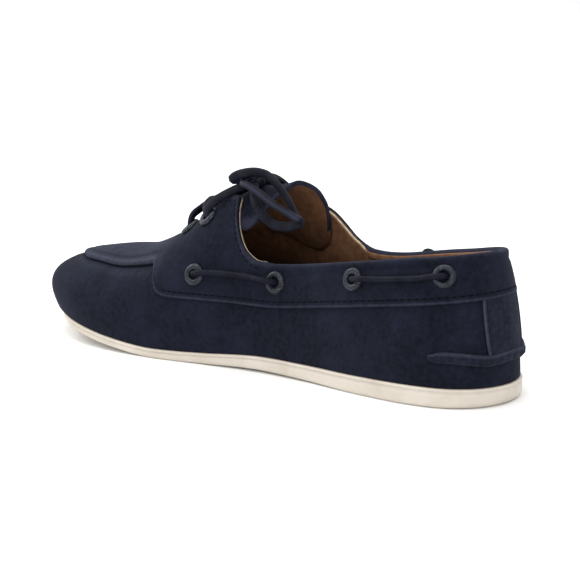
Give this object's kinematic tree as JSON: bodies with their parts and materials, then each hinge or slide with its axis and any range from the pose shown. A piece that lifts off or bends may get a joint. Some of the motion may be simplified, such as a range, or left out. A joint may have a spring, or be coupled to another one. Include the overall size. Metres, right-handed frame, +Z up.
{
  "type": "boat shoe",
  "caption": "Low navy nubuck boat shoe for the right foot, with a raised moccasin apron, side lacing through metal eyelets, a lace bow and a pale flat rubber sole.",
  "frame": {"origin": "middle of the footprint's bounding box, on the floor under the sole, taken without the loose lace", "axes": "+Y from toe to heel, +X towards the inner (medial) side, +Z up"},
  "size_m": [0.0846, 0.2558, 0.0883],
  "materials": {
    "nubuck": "brushed navy nubuck, matt",
    "sole_rubber": "off-white moulded rubber, satin",
    "lining": "smooth tan lining leather",
    "eyelet_metal": "dark blue-grey lacquered metal",
    "lace": "navy leather lace, low sheen"
  },
  "bodies": {
    "root": {"outsole": "sole_rubber", "insole": "lining", "upper": "nubuck", "top_piece": "nubuck", "heel_panel": "nubuck", "heel_band": "nubuck", "tongue": "nubuck", "eyelet_side_medial_1": "eyelet_metal", "eyelet_side_medial_2": "eyelet_metal", "eyelet_side_medial_3": "eyelet_metal", "eyelet_side_medial_4": "eyelet_metal", "eyelet_side_lateral_1": "eyelet_metal", "eyelet_side_lateral_2": "eyelet_metal", "eyelet_side_lateral_3": "eyelet_metal", "eyelet_side_lateral_4": "eyelet_metal", "eyelet_throat_medial_1": "eyelet_metal", "eyelet_throat_medial_2": "eyelet_metal", "eyelet_throat_lateral_1": "eyelet_metal", "eyelet_throat_lateral_2": "eyelet_metal", "lace_bar_medial_1": "lace", "lace_bar_medial_2": "lace", "lace_bar_lateral_1": "lace", "lace_bar_lateral_2": "lace", "lace_crossings": "lace", "lace_knot": "lace", "lace_loop_medial": "lace", "lace_loop_lateral": "lace", "lace_end_medial": "lace", "lace_end_lateral": "lace"}
  },
  "joints": []
}
